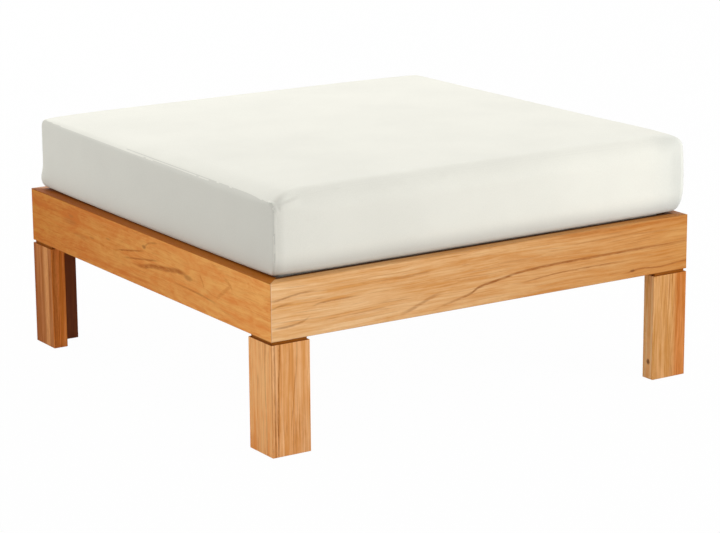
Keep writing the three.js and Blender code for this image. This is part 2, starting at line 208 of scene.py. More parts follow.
def make_stage():
    scene = bpy.context.scene
    scene.view_settings.view_transform = "Standard"
    scene.world = bpy.data.worlds.new("studio")
    scene.world.use_nodes = True
    tree = scene.world.node_tree
    tree.nodes.clear()
    direction = add("TexCoord", tree=tree)
    slope = add("VectorMath", (direction, SLOPE), out=1, operation="DOT_PRODUCT")
    strength = remap(seen_directly(tree), 0.0, 1.0, calc("ADD", AMBIENT, slope))
    finish(add("Background", (WHITE, strength)), "World")

    material, tree = new_material("floor")
    matt = add("BsdfDiffuse", ((FLOOR, FLOOR, FLOOR), 1.0), tree=tree)
    glow = add("Emission", (WHITE, 1.0), tree=tree)
    share = times(seen_directly(tree), FLOOR_GLOW)
    finish(add("MixShader", (share, matt, glow)))
    corners = [(a * FLOOR_EDGE, b * FLOOR_EDGE, 0) for a, b in SQUARE]
    floor = mesh_object("floor", corners, [(0, 1, 2, 3)], material)
    floor.location.z = -FLOOR_DROP

    for name, place, size, level in LAMPS:
        data = bpy.data.lights.new(name, "AREA")
        data.shape = "SQUARE"
        data.size = size
        data.energy = level * (math.pi * math.dist(place, AIM)) ** 2
        lamp = place_object(name, data)
        lamp.location = place
        x, y, z = np.array(AIM) - np.array(place)
        lamp.rotation_euler = [math.acos(-z / math.dist(place, AIM)), 0, math.atan2(-x, y)]


# Teak

SWAYS = (((2.4, 7.0, 7.0), 0.04), ((11.0, 30.0, 30.0), 0.0045))  # slow and quick bends: scales, reach
GRAIN = {  # features a metre along and across the board, detail, roughness, any distortion
    "breaks": (6.0, 45.0, 3.0, 0.5),
    "broad": (1.4, 20.0, 3.0, 0.55),
    "bands": (5.0, 120.0, 3.0, 0.6),
    "streaks": (9.0, 330.0, 3.0, 0.6),
    "feather": (16.0, 34.0, 4.0, 0.62, 1.4),
    "curls": (26.0, 150.0, 4.0, 0.65, 1.6),
    "pores": (30.0, 1500.0, 2.0, 0.6),
    "thin": (7.0, 520.0, 2.0, 0.5),
}
SHADES = (  # noise, its swing between pale and warm wood, and the input that scales it
    ("broad", 1.5, None), ("bands", 2.1, "streak"), ("streaks", 1.7, "streak"),
    ("feather", 3.0, "figure"), ("curls", 2.6, "figure"),
)
PORES, THIN, BREAKS = (0.56, 0.72), (0.57, 0.72), (0.38, 0.62)  # where these noises begin and cease to grow
RING_CHANGE = (0.31, 3.2)  # how soon the rings' spacing changes, and by how many rings
RING_RISE, RING_FALL = (0.55, 0.92), (1.0, 0.95)  # a ring's late wood, in shares of the ring
WEAK_RINGS = 0.25  # share of rings without late wood
DARK_PORES, DARK_THIN = 0.14, 0.34
PORE_RELIEF, STREAK_RELIEF, RING_RELIEF = -0.6, 0.5, -0.35
TEAK_ROUGHNESS = (0.52, 0.7)  # plain wood and late wood
TEAK_BUMP = (0.5, 0.0004)
TEAK_INPUTS = {
    "Vector": ("place", "seed", "heart"), "Float": ("slope", "rings", "late", "wave", "figure", "streak"),
    "Color": ("pale", "warm", "dark"),
}
TEAK_OUTPUTS = {"Color": ("colour",), "Float": ("roughness", "height")}


def teak_group():
    """Fibres, pores, patches, feathery figure, and late wood round a heart along the board."""
    group = bpy.data.node_groups.new("teak", "ShaderNodeTree")
    for way, sockets in (("INPUT", TEAK_INPUTS), ("OUTPUT", TEAK_OUTPUTS)):
        for kind, names in sockets.items():
            for name in names:
                group.interface.new_socket(name, in_out=way, socket_type="NodeSocket" + kind)
    given = group.nodes.new("NodeGroupInput").outputs
    result = group.nodes.new("NodeGroupOutput").inputs
    seed = given["seed"]

    def sway(source, scales, reach, share):
        moved = vector("SUBTRACT", noise(source, scales, seed=seed, out=1), (0.5, 0.5, 0.5))
        moved = vector("MULTIPLY", moved, (0.0, reach, reach))
        return vector("ADD", source, scaled(moved, share))

    place = sway(given["place"], *SWAYS[0], given["wave"])
    place = sway(place, *SWAYS[1], 1.0)
    fields = {}
    for name, (along, across, *rest) in GRAIN.items():
        fields[name] = noise(place, (along, across, across), *rest, seed=seed)

    off = vector("MULTIPLY", vector("SUBTRACT", place, given["heart"]), (0.0, 1.0, 1.0))
    radius = calc("MULTIPLY_ADD", split(place)[0], given["slope"], length(off))
    count = times(radius, given["rings"])
    often, spread = RING_CHANGE
    change = add("TexNoise", named={"W": count, "Scale": often, "Detail": 2.0}, noise_dimensions="1D")
    count = calc("MULTIPLY_ADD", change, spread, count)
    share = calc("FRACT", count)
    weight = add("TexWhiteNoise", named={"W": calc("FLOOR", count)}, noise_dimensions="1D")
    weight = remap(weight, WEAK_RINGS, 1.0)
    line = times(ease(share, *RING_RISE), ease(share, *RING_FALL), weight)
    ring = times(line, ease(fields["breaks"], *BREAKS), given["late"])

    shade = 0.5
    for name, reach, share in SHADES:
        swing = times(calc("SUBTRACT", fields[name], 0.5), reach)
        if share:
            swing = times(swing, given[share])
        shade = calc("ADD", shade, swing)
    colour = blend(shade, given["pale"], given["warm"])
    pores = ease(fields["pores"], *PORES)
    thin = times(ease(fields["thin"], *THIN), given["streak"])
    dark = calc("MULTIPLY_ADD", pores, DARK_PORES, ring)
    dark = calc("MULTIPLY_ADD", thin, DARK_THIN, dark)
    height = times(fields["streaks"], STREAK_RELIEF)
    height = calc("MULTIPLY_ADD", pores, PORE_RELIEF, height)
    height = calc("MULTIPLY_ADD", ring, RING_RELIEF, height)
    group.links.new(blend(dark, colour, given["dark"]), result["colour"])
    group.links.new(remap(dark, 0.0, 1.0, *TEAK_ROUGHNESS), result["roughness"])
    group.links.new(height, result["height"])
    return group


ALONG, ACROSS, INTO = 0, 1, 2
GRAIN_AXES = {  # which of x, y and z run along the grain, across the show face and into the board
    "x": (0, 2, 1), "x_flat": (0, 1, 2), "y": (1, 2, 0), "z": (2, 0, 1), "z_side": (2, 1, 0),
}
SHARES = ((1.13, 1.22, 1.46), (0.85, 0.76, 0.56), (0.48, 0.3, 0.16))  # pale, warm, dark over the base
BRIGHTEST = 0.97
LATE_WOOD = (0.38, 0.125, 0.026)
KNOT_WOOD = (0.2, 0.065, 0.02)
# painted shade: the rails' top colour where the cushion's shadow falls
UNDER_CUSHION_SHADE = (0.07, 0.024, 0.008)
STROKE = (0.33, 0.1, 0.02)  # late wood on the front rail
LINE = (0.36, 0.082, 0.008)  # late wood on the left rail
FIGURE = (0.6, 0.16, 0.022)  # soft figure there
PATCH = (0.42, 0.15, 0.032)  # broad patches there
# painted shade on the rails' top arris and top face
TOP_ARRIS_SHADE = (0.82, 0.76, 0.66)
RAIL_TOP_SHADE = (0.3, 0.088, 0.02)
RAIL_ARRIS, RAIL_FACE = (0.2713, 0.2718), (0.2716, 0.2721)  # heights at which these two painted shades come in
UNDER_CUSHION_SHADE_RAMP = 0.0025
INSIDE_RAMP = 0.0006
LEG_ARRIS = (0.3335, 0.3323)  # how far from the middle a leg board's inner arris is; past it the narrow end face gets painted light
RAGGED, RAGGED_REACH, RAGGED_RAMP = (60.0, 260.0, 260.0), 0.002, (0.3, 0.65, 0.45, 1.0)
VEIN_ENDS, VEIN_CORE = (0.22, 0.7), 0.25
KNOT_NOISE, KNOT_SWAY, KNOT_RAMP = (220.0, 420.0, 420.0), 0.5, (1.25, 0.55)


def drift(axes, colour, low, high, tint):
    """Tint that comes in along the board."""
    return blend(remap(axes[ALONG], low, high), colour, tint, "MULTIPLY")


def band(axes, colour, axis, start, full, share, tint, mode="MULTIPLY"):
    """Tint on one side of a place in the board: none at start, share of it from full on."""
    return blend(times(ease(axes[axis], start, full), share), colour, tint, mode)


def inside(axes, colour, depth, tint):
    """Painted shade on the side of the board that faces the frame's middle."""
    off = calc("ABSOLUTE", axes[INTO])
    return blend(ease(off, depth + INSIDE_RAMP, depth - INSIDE_RAMP), colour, tint, "MULTIPLY")


def track_curve(share, points, low, span):
    """How far across the board a track through points lies, for each share of its way along."""
    track = add("FloatCurve", (1.0, share)).node
    curve = track.mapping.curves[0]
    for i, (x, y) in enumerate(points):
        at = ((x - low[0]) / span[0], (y - low[1]) / max(span[1], 1e-6))
        if i in (0, len(points) - 1):
            curve.points[0 if i == 0 else -1].location = at
        else:
            curve.points.new(*at)
    track.mapping.update()
    return calc("MULTIPLY_ADD", track.outputs[0], span[1], low[1])


def vein(axes, colour, width, strength, track, tint=LATE_WOOD, swell=0.0):
    """A fading line of late wood. Its width, swell and track, along and across by turns, are in mm."""
    width, swell, *track = (v / 1000 for v in (width, swell, *track))
    points = list(zip(track[::2], track[1::2]))
    low = [min(p[k] for p in points) for k in (0, 1)]
    span = [max(p[k] for p in points) - low[k] for k in (0, 1)]
    share = remap(axes[ALONG], low[0], low[0] + span[0])
    height = track_curve(share, points, low, span)
    ragged = noise(add("CombineXYZ", axes), RAGGED, 3.0, 0.6)
    place = calc("ADD", axes[ACROSS], times(ragged, RAGGED_REACH))
    off = calc("SUBTRACT", calc("SUBTRACT", place, height), RAGGED_REACH / 2)
    ends = times(ease(share, 0.0, VEIN_ENDS[0]), ease(share, 1.0, VEIN_ENDS[1]))
    room = calc("MULTIPLY_ADD", ends, swell, width)
    core = ease(calc("DIVIDE", calc("ABSOLUTE", off), room), 1.0, VEIN_CORE)
    uneven = remap(ragged, *RAGGED_RAMP)
    return blend(times(core, ends, uneven, strength), colour, tint)


def knot(axes, colour, centre, radius, strength, tint=KNOT_WOOD):
    """A dark knot or a broad dark patch: its place and reach along, across and into the board."""
    spot = add("CombineXYZ", axes)
    off = vector("MULTIPLY", vector("SUBTRACT", spot, centre), [1 / r for r in radius])
    far = calc("MULTIPLY_ADD", noise(spot, KNOT_NOISE), KNOT_SWAY, length(off))
    return blend(times(ease(far, *KNOT_RAMP), strength), colour, tint)


def rail_top(axes, colour, share, shade_from=0.385, shade_share=0.75, tint=RAIL_TOP_SHADE):
    """A rail's top face with painted shade: darker and redder than its sides, and darkest under the cushion,
    where its shadow falls.
    """
    colour = blend(ease(axes[ACROSS], *RAIL_ARRIS), colour, TOP_ARRIS_SHADE, "MULTIPLY")
    up = ease(axes[ACROSS], *RAIL_FACE)
    colour = blend(times(up, share), colour, tint)
    under = ease(calc("ABSOLUTE", axes[INTO]), shade_from, shade_from - UNDER_CUSHION_SHADE_RAMP)
    return blend(times(up, under, shade_share), colour, UNDER_CUSHION_SHADE)


# painted shade on the inner faces of legs and rails, where little light reaches
LEG_INNER_SHADE = (inside, 0.3746, (0.256, 0.109, 0.011))
RAIL_INNER_SHADE = (inside, 0.3738, (0.6, 0.46, 0.34))
RAIL_EDGE_SHADE = (band, ACROSS, 0.1832, 0.1822, 0.5, (0.62, 0.5, 0.38))  # painted shade on a rail's rounded lower edge
GROOVE_SHADE = (band, ALONG, 0.1763, 0.1768, 0.95, (0.3, 0.085, 0.004), "MIX")  # painted shade on a leg's top, in the shadow gap under its rail

FRONT_RAIL = (
    (drift, -0.4, 0.4, (0.65, 0.485, 0.272)),
    # painted highlight along the mitred arris at the front left corner
    (band, ALONG, -0.3975, -0.3988, 0.55, (0.93, 0.6, 0.36), "MIX"),
    (vein, 2.4, 0.95, (-131.9, 178.9, -116.9, 183, -94.3, 190.7, -66, 196.9, -37.4, 203.1, -18.3, 212,
        29.9, 219.8, 62.4, 224.5, 111.6, 227.1, 161.5, 228.1, 263, 228.8, 440, 229.2), STROKE, 0.6),
    (vein, 1.6, 0.75, (43.7, 204, 78.9, 207.7, 108.5, 210, 138.3, 212.2, 218.9, 213, 301.2, 212.9),
        STROKE),
    (vein, 4.2, 0.5, (-172.7, 188.4, -150.4, 194.5, -128.1, 202.3, -105.6, 210.1, -83, 214.7)),
    (vein, 2.6, 0.5, (-183.5, 248.6, -159.5, 248.3, -131.7, 249.8, -101.9, 251)),
    (vein, 2.4, 0.6, (-411.4, 243.7, -390.6, 245.2, -371.4, 247.7, -352.1, 250.2, -331, 251.7,
        -309.7, 252.4)),
    (vein, 2.2, 0.65, (-331.3, 226.1, -320.7, 229.2, -306.5, 230.9, -292.2, 231.4, -268.9, 231.5,
        -238.3, 231.6)),
    (vein, 2.6, 0.6, (-401.8, 202.2, -377.4, 202.2, -352.8, 204.6, -338.7, 208.6, -329.7, 215.8,
        -326, 226.1)),
    (vein, 2.2, 0.5, (-411.7, 231.5, -396, 232.9, -382.1, 236.2, -369.8, 236.6, -355.9, 232.2)),
    (vein, 2, 0.5, (137.7, 254.2, 197.9, 254.8, 259, 255.5, 321.1, 253.7, 396.8, 253.5)),
    (vein, 2.2, 0.85, (254.2, 188.7, 274.8, 191.6, 287.8, 193.4, 301.7, 195, 343.6, 192.5, 368.2, 194.4,
        396.4, 196, 450, 197), STROKE),
    (knot, (0.286, 0.1936, -0.4), (0.007, 0.003, 0.02), 0.7),
    (vein, 4, 0.6, (90, 269, 200, 268.6, 300, 268.4, 520, 268.2), (0.44, 0.135, 0.022)),
    # painted shade on the top face, darkest under the cushion
    (rail_top, 0.04, 0.3828, 0.9),
    RAIL_EDGE_SHADE,
    RAIL_INNER_SHADE,
)
LEFT_RAIL = (
    # painted shade on the top face, darkest under the cushion
    (rail_top, 0.95, 0.3838, 0.1, (0.4, 0.118, 0.0066)),
    (drift, -0.39, 0.39, (0.61, 0.49, 0.28)),
    (vein, 2.8, 0.85, (-164, 226.2, -149.8, 231, -124.2, 233.1, -91.7, 229.5, -38.8, 224.1, 15.5, 215.4,
        42.8, 214.8), LINE, 3),
    (vein, 5, 0.7, (-201.5, 220, -194, 233.4, -185, 242), FIGURE),
    (vein, 4.6, 0.5, (-290, 234, -277.5, 246.5, -260, 252), FIGURE),
    (vein, 5.6, 0.5, (-288, 247, -261.7, 230.4, -233, 211.5), FIGURE),
    (vein, 2.4, 0.55, (-54.2, 264.3, -24.1, 259.1, -10.3, 252.2, 1, 244.5), LINE),
    (vein, 2, 0.8, (-10, 243.6, 3.8, 241.1, 34.7, 235.5, 62.5, 230.9, 98, 224.6), LINE),
    (vein, 2.2, 0.7, (-60, 237.2, 1.2, 228, 35.5, 223, 76, 216.8), LINE),
    (vein, 4, 0.6, (100, 250, 170, 244, 240, 247, 330, 242), FIGURE),
    (vein, 4.4, 0.6, (120, 232, 200, 226, 300, 229, 370, 225), FIGURE),
    (vein, 4, 0.75, (-60, 190.5, 40, 192.5, 140, 193, 260, 191.5), FIGURE),
    (vein, 2.2, 0.5, (-250, 206, -233.2, 206.7, -171, 210.8, -90, 211.6), LINE),
    (knot, (0.2506, 0.2517, -0.4), (0.012, 0.004, 0.02), 0.5, PATCH),
    (knot, (0.1756, 0.2285, -0.4), (0.013, 0.0026, 0.02), 0.5, PATCH),
    (knot, (0.1179, 0.2383, -0.4), (0.012, 0.0026, 0.02), 0.5, PATCH),
    (knot, (-0.0068, 0.2499, -0.4), (0.0085, 0.0045, 0.02), 0.8, (0.4, 0.14, 0.03)),
    (knot, (-0.15, 0.2285, -0.4), (0.018, 0.006, 0.02), 0.6, PATCH),
    (knot, (0.255, 0.242, -0.4), (0.03, 0.008, 0.02), 0.35, (0.42, 0.15, 0.03)),
    (knot, (0.215, 0.224, -0.4), (0.04, 0.006, 0.02), 0.3, (0.42, 0.15, 0.03)),
    RAIL_EDGE_SHADE,
    RAIL_INNER_SHADE,
)
RAILS = {
    "front_rail": dict(
        run="x", seed=1, heart=(0.02, -0.47), slope=0.05, rings=130.0, late=0.25, wave=0.45,
        figure=0.22, specular=0.06, base=(0.952, 0.518, 0.227), marks=FRONT_RAIL,
    ),
    "left_rail": dict(
        run="y", seed=2, heart=(0.22, -0.43), slope=0.1, rings=110.0, late=0.12, wave=1.0, figure=0.62,
        streak=0.7, specular=0.04, base=(1.05, 0.411, 0.106),
        shares=((1.1, 1.17, 1.28), (0.82, 0.72, 0.6), (0.48, 0.3, 0.16)), marks=LEFT_RAIL,
    ),
    "back_rail": dict(
        run="x", seed=3, heart=(0.3, 0.44), slope=-0.04, marks=((rail_top, 0.5), RAIL_INNER_SHADE),
    ),
    "right_rail": dict(
        run="y", seed=4, heart=(0.18, 0.45), slope=0.06, figure=0.5, marks=((rail_top, 0.5), RAIL_INNER_SHADE),
    ),
}
LEG_BOARDS = {  # what sets these apart from LEG_BOARD
    "front_left_leg_front_board": dict(
        base=(0.922, 0.45, 0.178), streak=1.4, rings=330.0, late=0.5, specular=0.05, marks=(
            (vein, 2.2, 0.75, (-60, -395, 90, -394.5, 150, -395, 260, -394.5)),
            (vein, 2.2, 0.9, (-40, -390.5, 60, -389, 120, -388, 150, -386.2, 260, -385.8)),
            (vein, 1.6, 0.45, (20, -370, 70, -364, 110, -360, 150, -356, 240, -355)),
        )),
    "front_left_leg_left_board": dict(
        base=(1.03, 0.432, 0.145), streak=1.5, late=0.5, specular=0.05, marks=(
            (vein, 2.4, 0.35, (-50, -382, 50, -383, 110, -380, 250, -382), STROKE),
        )),
    "front_right_leg_front_board": dict(
        base=(0.68, 0.343, 0.119), streak=1.5, rings=330.0, late=0.75, specular=0.05, marks=(
            (band, ACROSS, 0.37, 0.384, 0.75, (0.89, 0.55, 0.29)),
            # painted light: the narrow end face past the inner arris made brighter
            (band, ACROSS, *LEG_ARRIS, 1.0, (1.56, 1.7, 1.95)),
            (knot, (0.0295, 0.332, -0.3885), (0.0066, 0.004, 0.0058), 0.85),
        )),
    "back_left_leg_left_board": dict(
        base=(0.435, 0.145, 0.033), streak=2.1, late=0.6, rings=260.0, specular=0.05, marks=(
            (band, ACROSS, 0.384, 0.396, 0.9, (0.8, 0.68, 0.55)),
            (vein, 13.5, 0.75, (-100, 354, 20, 353, 90, 354, 300, 353), (0.76, 0.36, 0.125)),
            (vein, 3, 0.8, (-60, 344, 50, 345, 120, 344, 260, 344.5)),
            (vein, 2.2, 0.7, (-20, 366, 60, 365, 120, 368, 160, 369)),
            # painted light: the narrow end face past the inner arris made brighter
            (band, ACROSS, *LEG_ARRIS, 1.0, (1.9, 1.85, 1.6)),
            (knot, (0.09, 0.3312, -0.398), (0.19, 0.0024, 0.014), 0.65, (0.42, 0.11, 0.014)),
        )),
}
PLAIN_WOOD = (0.7, 0.34, 0.125)
WOOD = {"slope": 0.0, "rings": 150.0, "late": 0.3, "wave": 0.5, "figure": 0.25, "streak": 1.0}
LEG_BOARD = {"slope": 0.02, "rings": 200.0, "wave": 0.35, "streak": 1.2, "marks": ()}
BOARD_RUNS = {"front": "z", "back": "z", "left": "z_side", "right": "z_side"}
HEART_SHIFT = (1.1, 1.05)  # a leg board's heart lies a little outside the board


def teak(name, run, seed, heart, base=PLAIN_WOOD, specular=0.18, shares=SHARES, marks=(), **changes):
    material, tree = new_material(name)
    place = split(add("TexCoord", tree=tree, out=3))
    axes = [place[i] for i in GRAIN_AXES[run]]
    tones = ([min(c * k, BRIGHTEST) for c, k in zip(base, share)] for share in shares)
    given = {**WOOD, **changes, **dict(zip(TEAK_INPUTS["Color"], tones))}
    given.update(seed=(seed * 3.7, seed * 11.3 + 2, seed * 7.9 + 5), heart=(0.0, *heart))
    given["place"] = add("CombineXYZ", axes)
    grain = add("Group", named=given, node_tree=TEAK).node.outputs
    colour = grain["colour"]
    for mark, *settings in marks:
        colour = mark(axes, colour, *settings)
    bump = (*TEAK_BUMP, grain["height"])
    principled(colour, grain["roughness"], bump, {"Specular IOR Level": specular})
    return material


def dress(name, material):
    slots = nodes[name].data.materials
    slots.clear()
    slots.append(material)


def middle(name):
    return [(low + high) / 2 for low, high in zip(*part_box(name))]


def small_wood(name, seed):
    """What a slat, ledger, bearer, block or spline is cut like, or nothing for another node."""
    if name.startswith("deck_slat_"):
        return "x_flat", (middle(name)[1] + 0.02 * math.sin(seed), 0.2), {"slope": 0.04}
    if name.endswith("_ledger"):
        return "y", (0.3, 0.3), {"slope": 0.05}
    if name == "centre_bearer":
        return "y", (0.3, 0.1), {"slope": 0.05}
    if name.endswith(("_corner_block", "_spline")):
        run = "z" if "leg_spline" in name else "x_flat"
        return run, (0.3, 0.3), {"slope": 0.02, "rings": 200.0}
    return None


def dress_wood():
    for name, settings in RAILS.items():
        dress(name, teak(name, **settings))
    seed = len(RAILS) + 1
    for name in sorted(nodes):
        if "_leg_" in name and name.endswith("_board"):
            run = BOARD_RUNS[name.split("_leg_")[1].split("_")[0]]
            x, y, _ = middle(name)
            heart = (x, y) if run == "z" else (y, x)
            heart = [place * shift for place, shift in zip(heart, HEART_SHIFT)]
            settings = {**LEG_BOARD, **LEG_BOARDS.get(name, {})}
            settings["marks"] += (LEG_INNER_SHADE, GROOVE_SHADE)
            dress(name, teak(name, run, seed, heart, **settings))
            seed += 1
    for name in sorted(nodes):
        cut = small_wood(name, seed)
        if cut:
            run, heart, settings = cut
            dress(name, teak(name, run, seed, heart, **settings))
            seed += 1


# Metal and zip

WEAR_SCALES, WEAR_RAMP, WORN, ROUGHER = (160.0, 160.0, 160.0), (0.35, 0.75), 0.82, 0.14
METAL_BUMP = (0.25, 0.0001)


def metal(name, colour, roughness, scale):
    material, tree = new_material(name)
    place = add("TexCoord", tree=tree, out=3)
    grain = noise(place, (scale, scale, scale * 0.2), 3.0, 0.6)
    wear = ease(noise(place, WEAR_SCALES, 3.0), *WEAR_RAMP)
    tint = blend(wear, colour, [c * WORN for c in colour])
    rough = remap(grain, 0.3, 0.7, roughness, roughness + ROUGHER)
    principled(tint, rough, (*METAL_BUMP, grain), {"Metallic": 1.0})
    return material


# Cushion: a box cover whose wrap panel rolls over front and back, with two sewn end panels

LEFT, RIGHT, FRONT, BACK = -0.3826, 0.4018, -0.3889, 0.3894
BOTTOM, RAIL_TOP, TOP = 0.2615, 0.273, 0.394
SEAT = RAIL_TOP + 0.0024  # underside of the overhang
CORNERS = (  # way along x and y, height of the top, and the droop: how far, and how close to the corner
    (-1, -1, 0.4035, 0.003, 14),
    (1, -1, 0.403, 0.0056, 12),
    (-1, 1, 0.3972, 0.0026, 14),
    (1, 1, 0.394, 0.0025, 14),
)
SEAM_FALL = (0.0165, 0.042)  # how far the left seam falls towards the front, and how far inward that reaches
TUCKED = [  # height and half width of the rows that lie in the frame's opening
    (BOTTOM, 0.361), (BOTTOM + 0.003, 0.364), (RAIL_TOP - 0.004, 0.3665), (SEAT - 0.0006, 0.3675),
]
EDGES = ((0.0085, 0.0035), (0.014, 0.014))  # rounding of the end panels' tops: in the middle, at the ends
EDGE_ENDS = (0.012, 0.09)  # over which way from a corner that rounding grows
UPRIGHTS = (0.0045, 0.011)  # rounding of the vertical edges at the left and right panels
TURN = (0.0048, 0.018)  # how far the wrap panel draws in beside its left seam, and over what width
ROLLS = (0.033, 0.018)  # the wrap panel's rolls over front and back
ROLL_ENDS = ((0.016, 0.05), (0.014, 0.05))  # a roll's rounding at the left and right seams, and its growth
LIPS = ((0.003, 0.006), (0.011, 0.016), (0.003, 0.006), (0.003, 0.006))  # lower edges' width and height
LEANS = ((0.0012, 0.03), (0.002, 0.03), (0.008, 0.037), (0.004, 0.037))  # of left, right, front, back
CROWN = 0.006
BACK_RISE, RIGHT_SINK = 0.0018, 0.0016  # of these two top edges between their corners
BULGE = 0.0018
BULGE_FROM = 0.985  # share of the half width from which points count as a side
AT_CORNER = (1.9, 2.0)  # where u and v together come close enough to a corner
RIGHT_BULGE, RIGHT_LEAN, LEAN_FROM = 2.2, 0.0018, 0.25  # of the right front corner, which leans in at its top
FOOT, FOOT_HEIGHT, FOOT_SPREAD = 0.0056, 0.1, 0.13  # how the left back corner spreads near its foot
DIP, CORNER_LIFT, DIP_HEIGHT = 0.0016, 0.0014, 0.02  # of the lower edge, at the left and at the corners
RIM, RIM_RAMP = 0.366, 0.004  # half width from which a low point counts as that edge
ZIP_HEIGHT, ZIP_HALF, ZIP_REACH, ZIP_FACE, ZIP_FADE = 0.3425, 0.014, 0.3112, 0.3877, 0.0045
BAND_TOP = 0.036  # height of the close rows over the lower edge
FLANK_STEPS, ARC_STEPS = (4, 14), (1, 4)  # of the coarse and of the fine grid
CAP_DEPTHS = (  # their rows below the top
    (0.03, 0.018, 0.009, 0.003, 0.0),
    (0.03, 0.0265, 0.0232, 0.02, 0.0172, 0.0147, 0.0124, 0.0103, 0.0084, 0.0067, 0.0052, 0.0039, 0.0028,
     0.0019, 0.0012, 0.0006, 0.00025, 0.0),
)
COARSE_STEP, STEP_X, STEP_Y = 0.0125, 0.0075, 0.008
NEAR_END, COARSE_END = (0.0, 0.002, 0.0045, 0.008, 0.0125, 0.018, 0.025), (0.0, 0.007)
NEAR_LEFT = [0.0008 * i for i in range(12)] + [0.0102, 0.012, 0.0142, 0.017, 0.0205, 0.0245, 0.029, 0.035]
NEAR_RIGHT = (0.0, 0.001, 0.0022, 0.0036, 0.0055, 0.008, 0.0115, 0.0165, 0.0225, 0.0295)


def cushion_levels(fine):
    """From the bottom up: height and, for the rows tucked into the frame, the half width."""
    steps = FLANK_STEPS[fine]
    low, high = SEAT + BAND_TOP, TOP - max(ROLLS)
    curve = [SEAT + BAND_TOP * (1 - math.cos(math.pi / 2 * i / steps)) for i in range(steps + 1)]
    flank = [low + (high - low) * i / steps for i in range(1, steps + 1)]
    cap = [TOP - d for d in CAP_DEPTHS[fine]]
    return TUCKED + [(height, None) for height in curve + flank + cap]


def unit(value):
    return np.clip(value, 0, 1)


def smooth(value, low, high):
    share = unit((value - low) / (high - low))
    return share**2 * (3 - 2 * share)


def bell(off, width):
    return np.exp(-((off / width) ** 2))


def rounding(radius, depth):
    """How far a rounded edge stands in at a depth below the top, for one radius or many."""
    rest = np.clip(radius - depth, 0, None)
    return np.where(depth < radius, radius - np.sqrt(np.clip(radius**2 - rest**2, 0, None)), 0.0)


def inset(side, height):
    """How far a side stands in from its full reach: its lower edge's rounding and its lean."""
    (width, rise), (reach, lean_height) = LIPS[side], LEANS[side]
    low = unit(1 - (height - SEAT) / rise)
    lean = unit(1 - (height - SEAT) / lean_height)
    return width * (1 - math.sqrt(1 - low**2)) + reach * lean**2


def edge_at(side, y):
    """Rounding of an end panel's top edge: less towards its corners."""
    middle_radius, end = EDGES[side]
    near = np.minimum(y - FRONT, BACK - y)
    return end + (middle_radius - end) * smooth(near, *EDGE_ENDS)


def roll_at(side, x):
    """Rounding of the wrap panel's roll: least at the seams."""
    most = ROLLS[side - 2]
    offs = (x - LEFT - UPRIGHTS[0], RIGHT - UPRIGHTS[1] - x)
    radii = [end + (most - end) * smooth(off, 0, full) for off, (end, full) in zip(offs, ROLL_ENDS)]
    return np.minimum(*radii)


def side_place(side, along, height, half):
    """x of an end panel at each y, or y of the wrap panel at each x, or plainly a given half width."""
    outward = -1 if side in (0, 2) else 1
    if half:
        return np.full(len(along), outward * half)
    radius = edge_at(side, along) if side < 2 else roll_at(side, along)
    inward = rounding(radius, TOP - height) + inset(side, height)
    if side == 2:
        inward = inward + TURN[0] * unit(1 - (along - LEFT) / TURN[1]) ** 2
    return (LEFT, RIGHT, FRONT, BACK)[side] - outward * inward


def spread_lines(low, high, step, close_low, close_high, extra=()):
    """Places from low to high: given distances from both ends, a step apart between them."""
    first = [low + c for c in close_low]
    last = [high - c for c in reversed(close_high)]
    count = round((last[0] - first[-1]) / step)
    between = [first[-1] + (last[0] - first[-1]) * i / count for i in range(1, count)]
    for place in extra:
        nearest = min(range(len(between)), key=lambda i: abs(between[i] - place))
        between[nearest] = place
    return np.array(first + between + last)


def grid_lines(fine):
    """x of the lines across the cover, and y of those along it."""
    left, right = LEFT + UPRIGHTS[0], RIGHT - UPRIGHTS[1]
    if not fine:
        sides = ((left, right), (FRONT, BACK))
        return [spread_lines(*side, COARSE_STEP, COARSE_END, COARSE_END) for side in sides]
    faded = ZIP_REACH + ZIP_FADE
    across = spread_lines(left, right, STEP_X, NEAR_LEFT, NEAR_RIGHT, (-faded, -ZIP_REACH, ZIP_REACH, faded))
    return across, spread_lines(FRONT, BACK, STEP_Y, NEAR_END, NEAR_END)


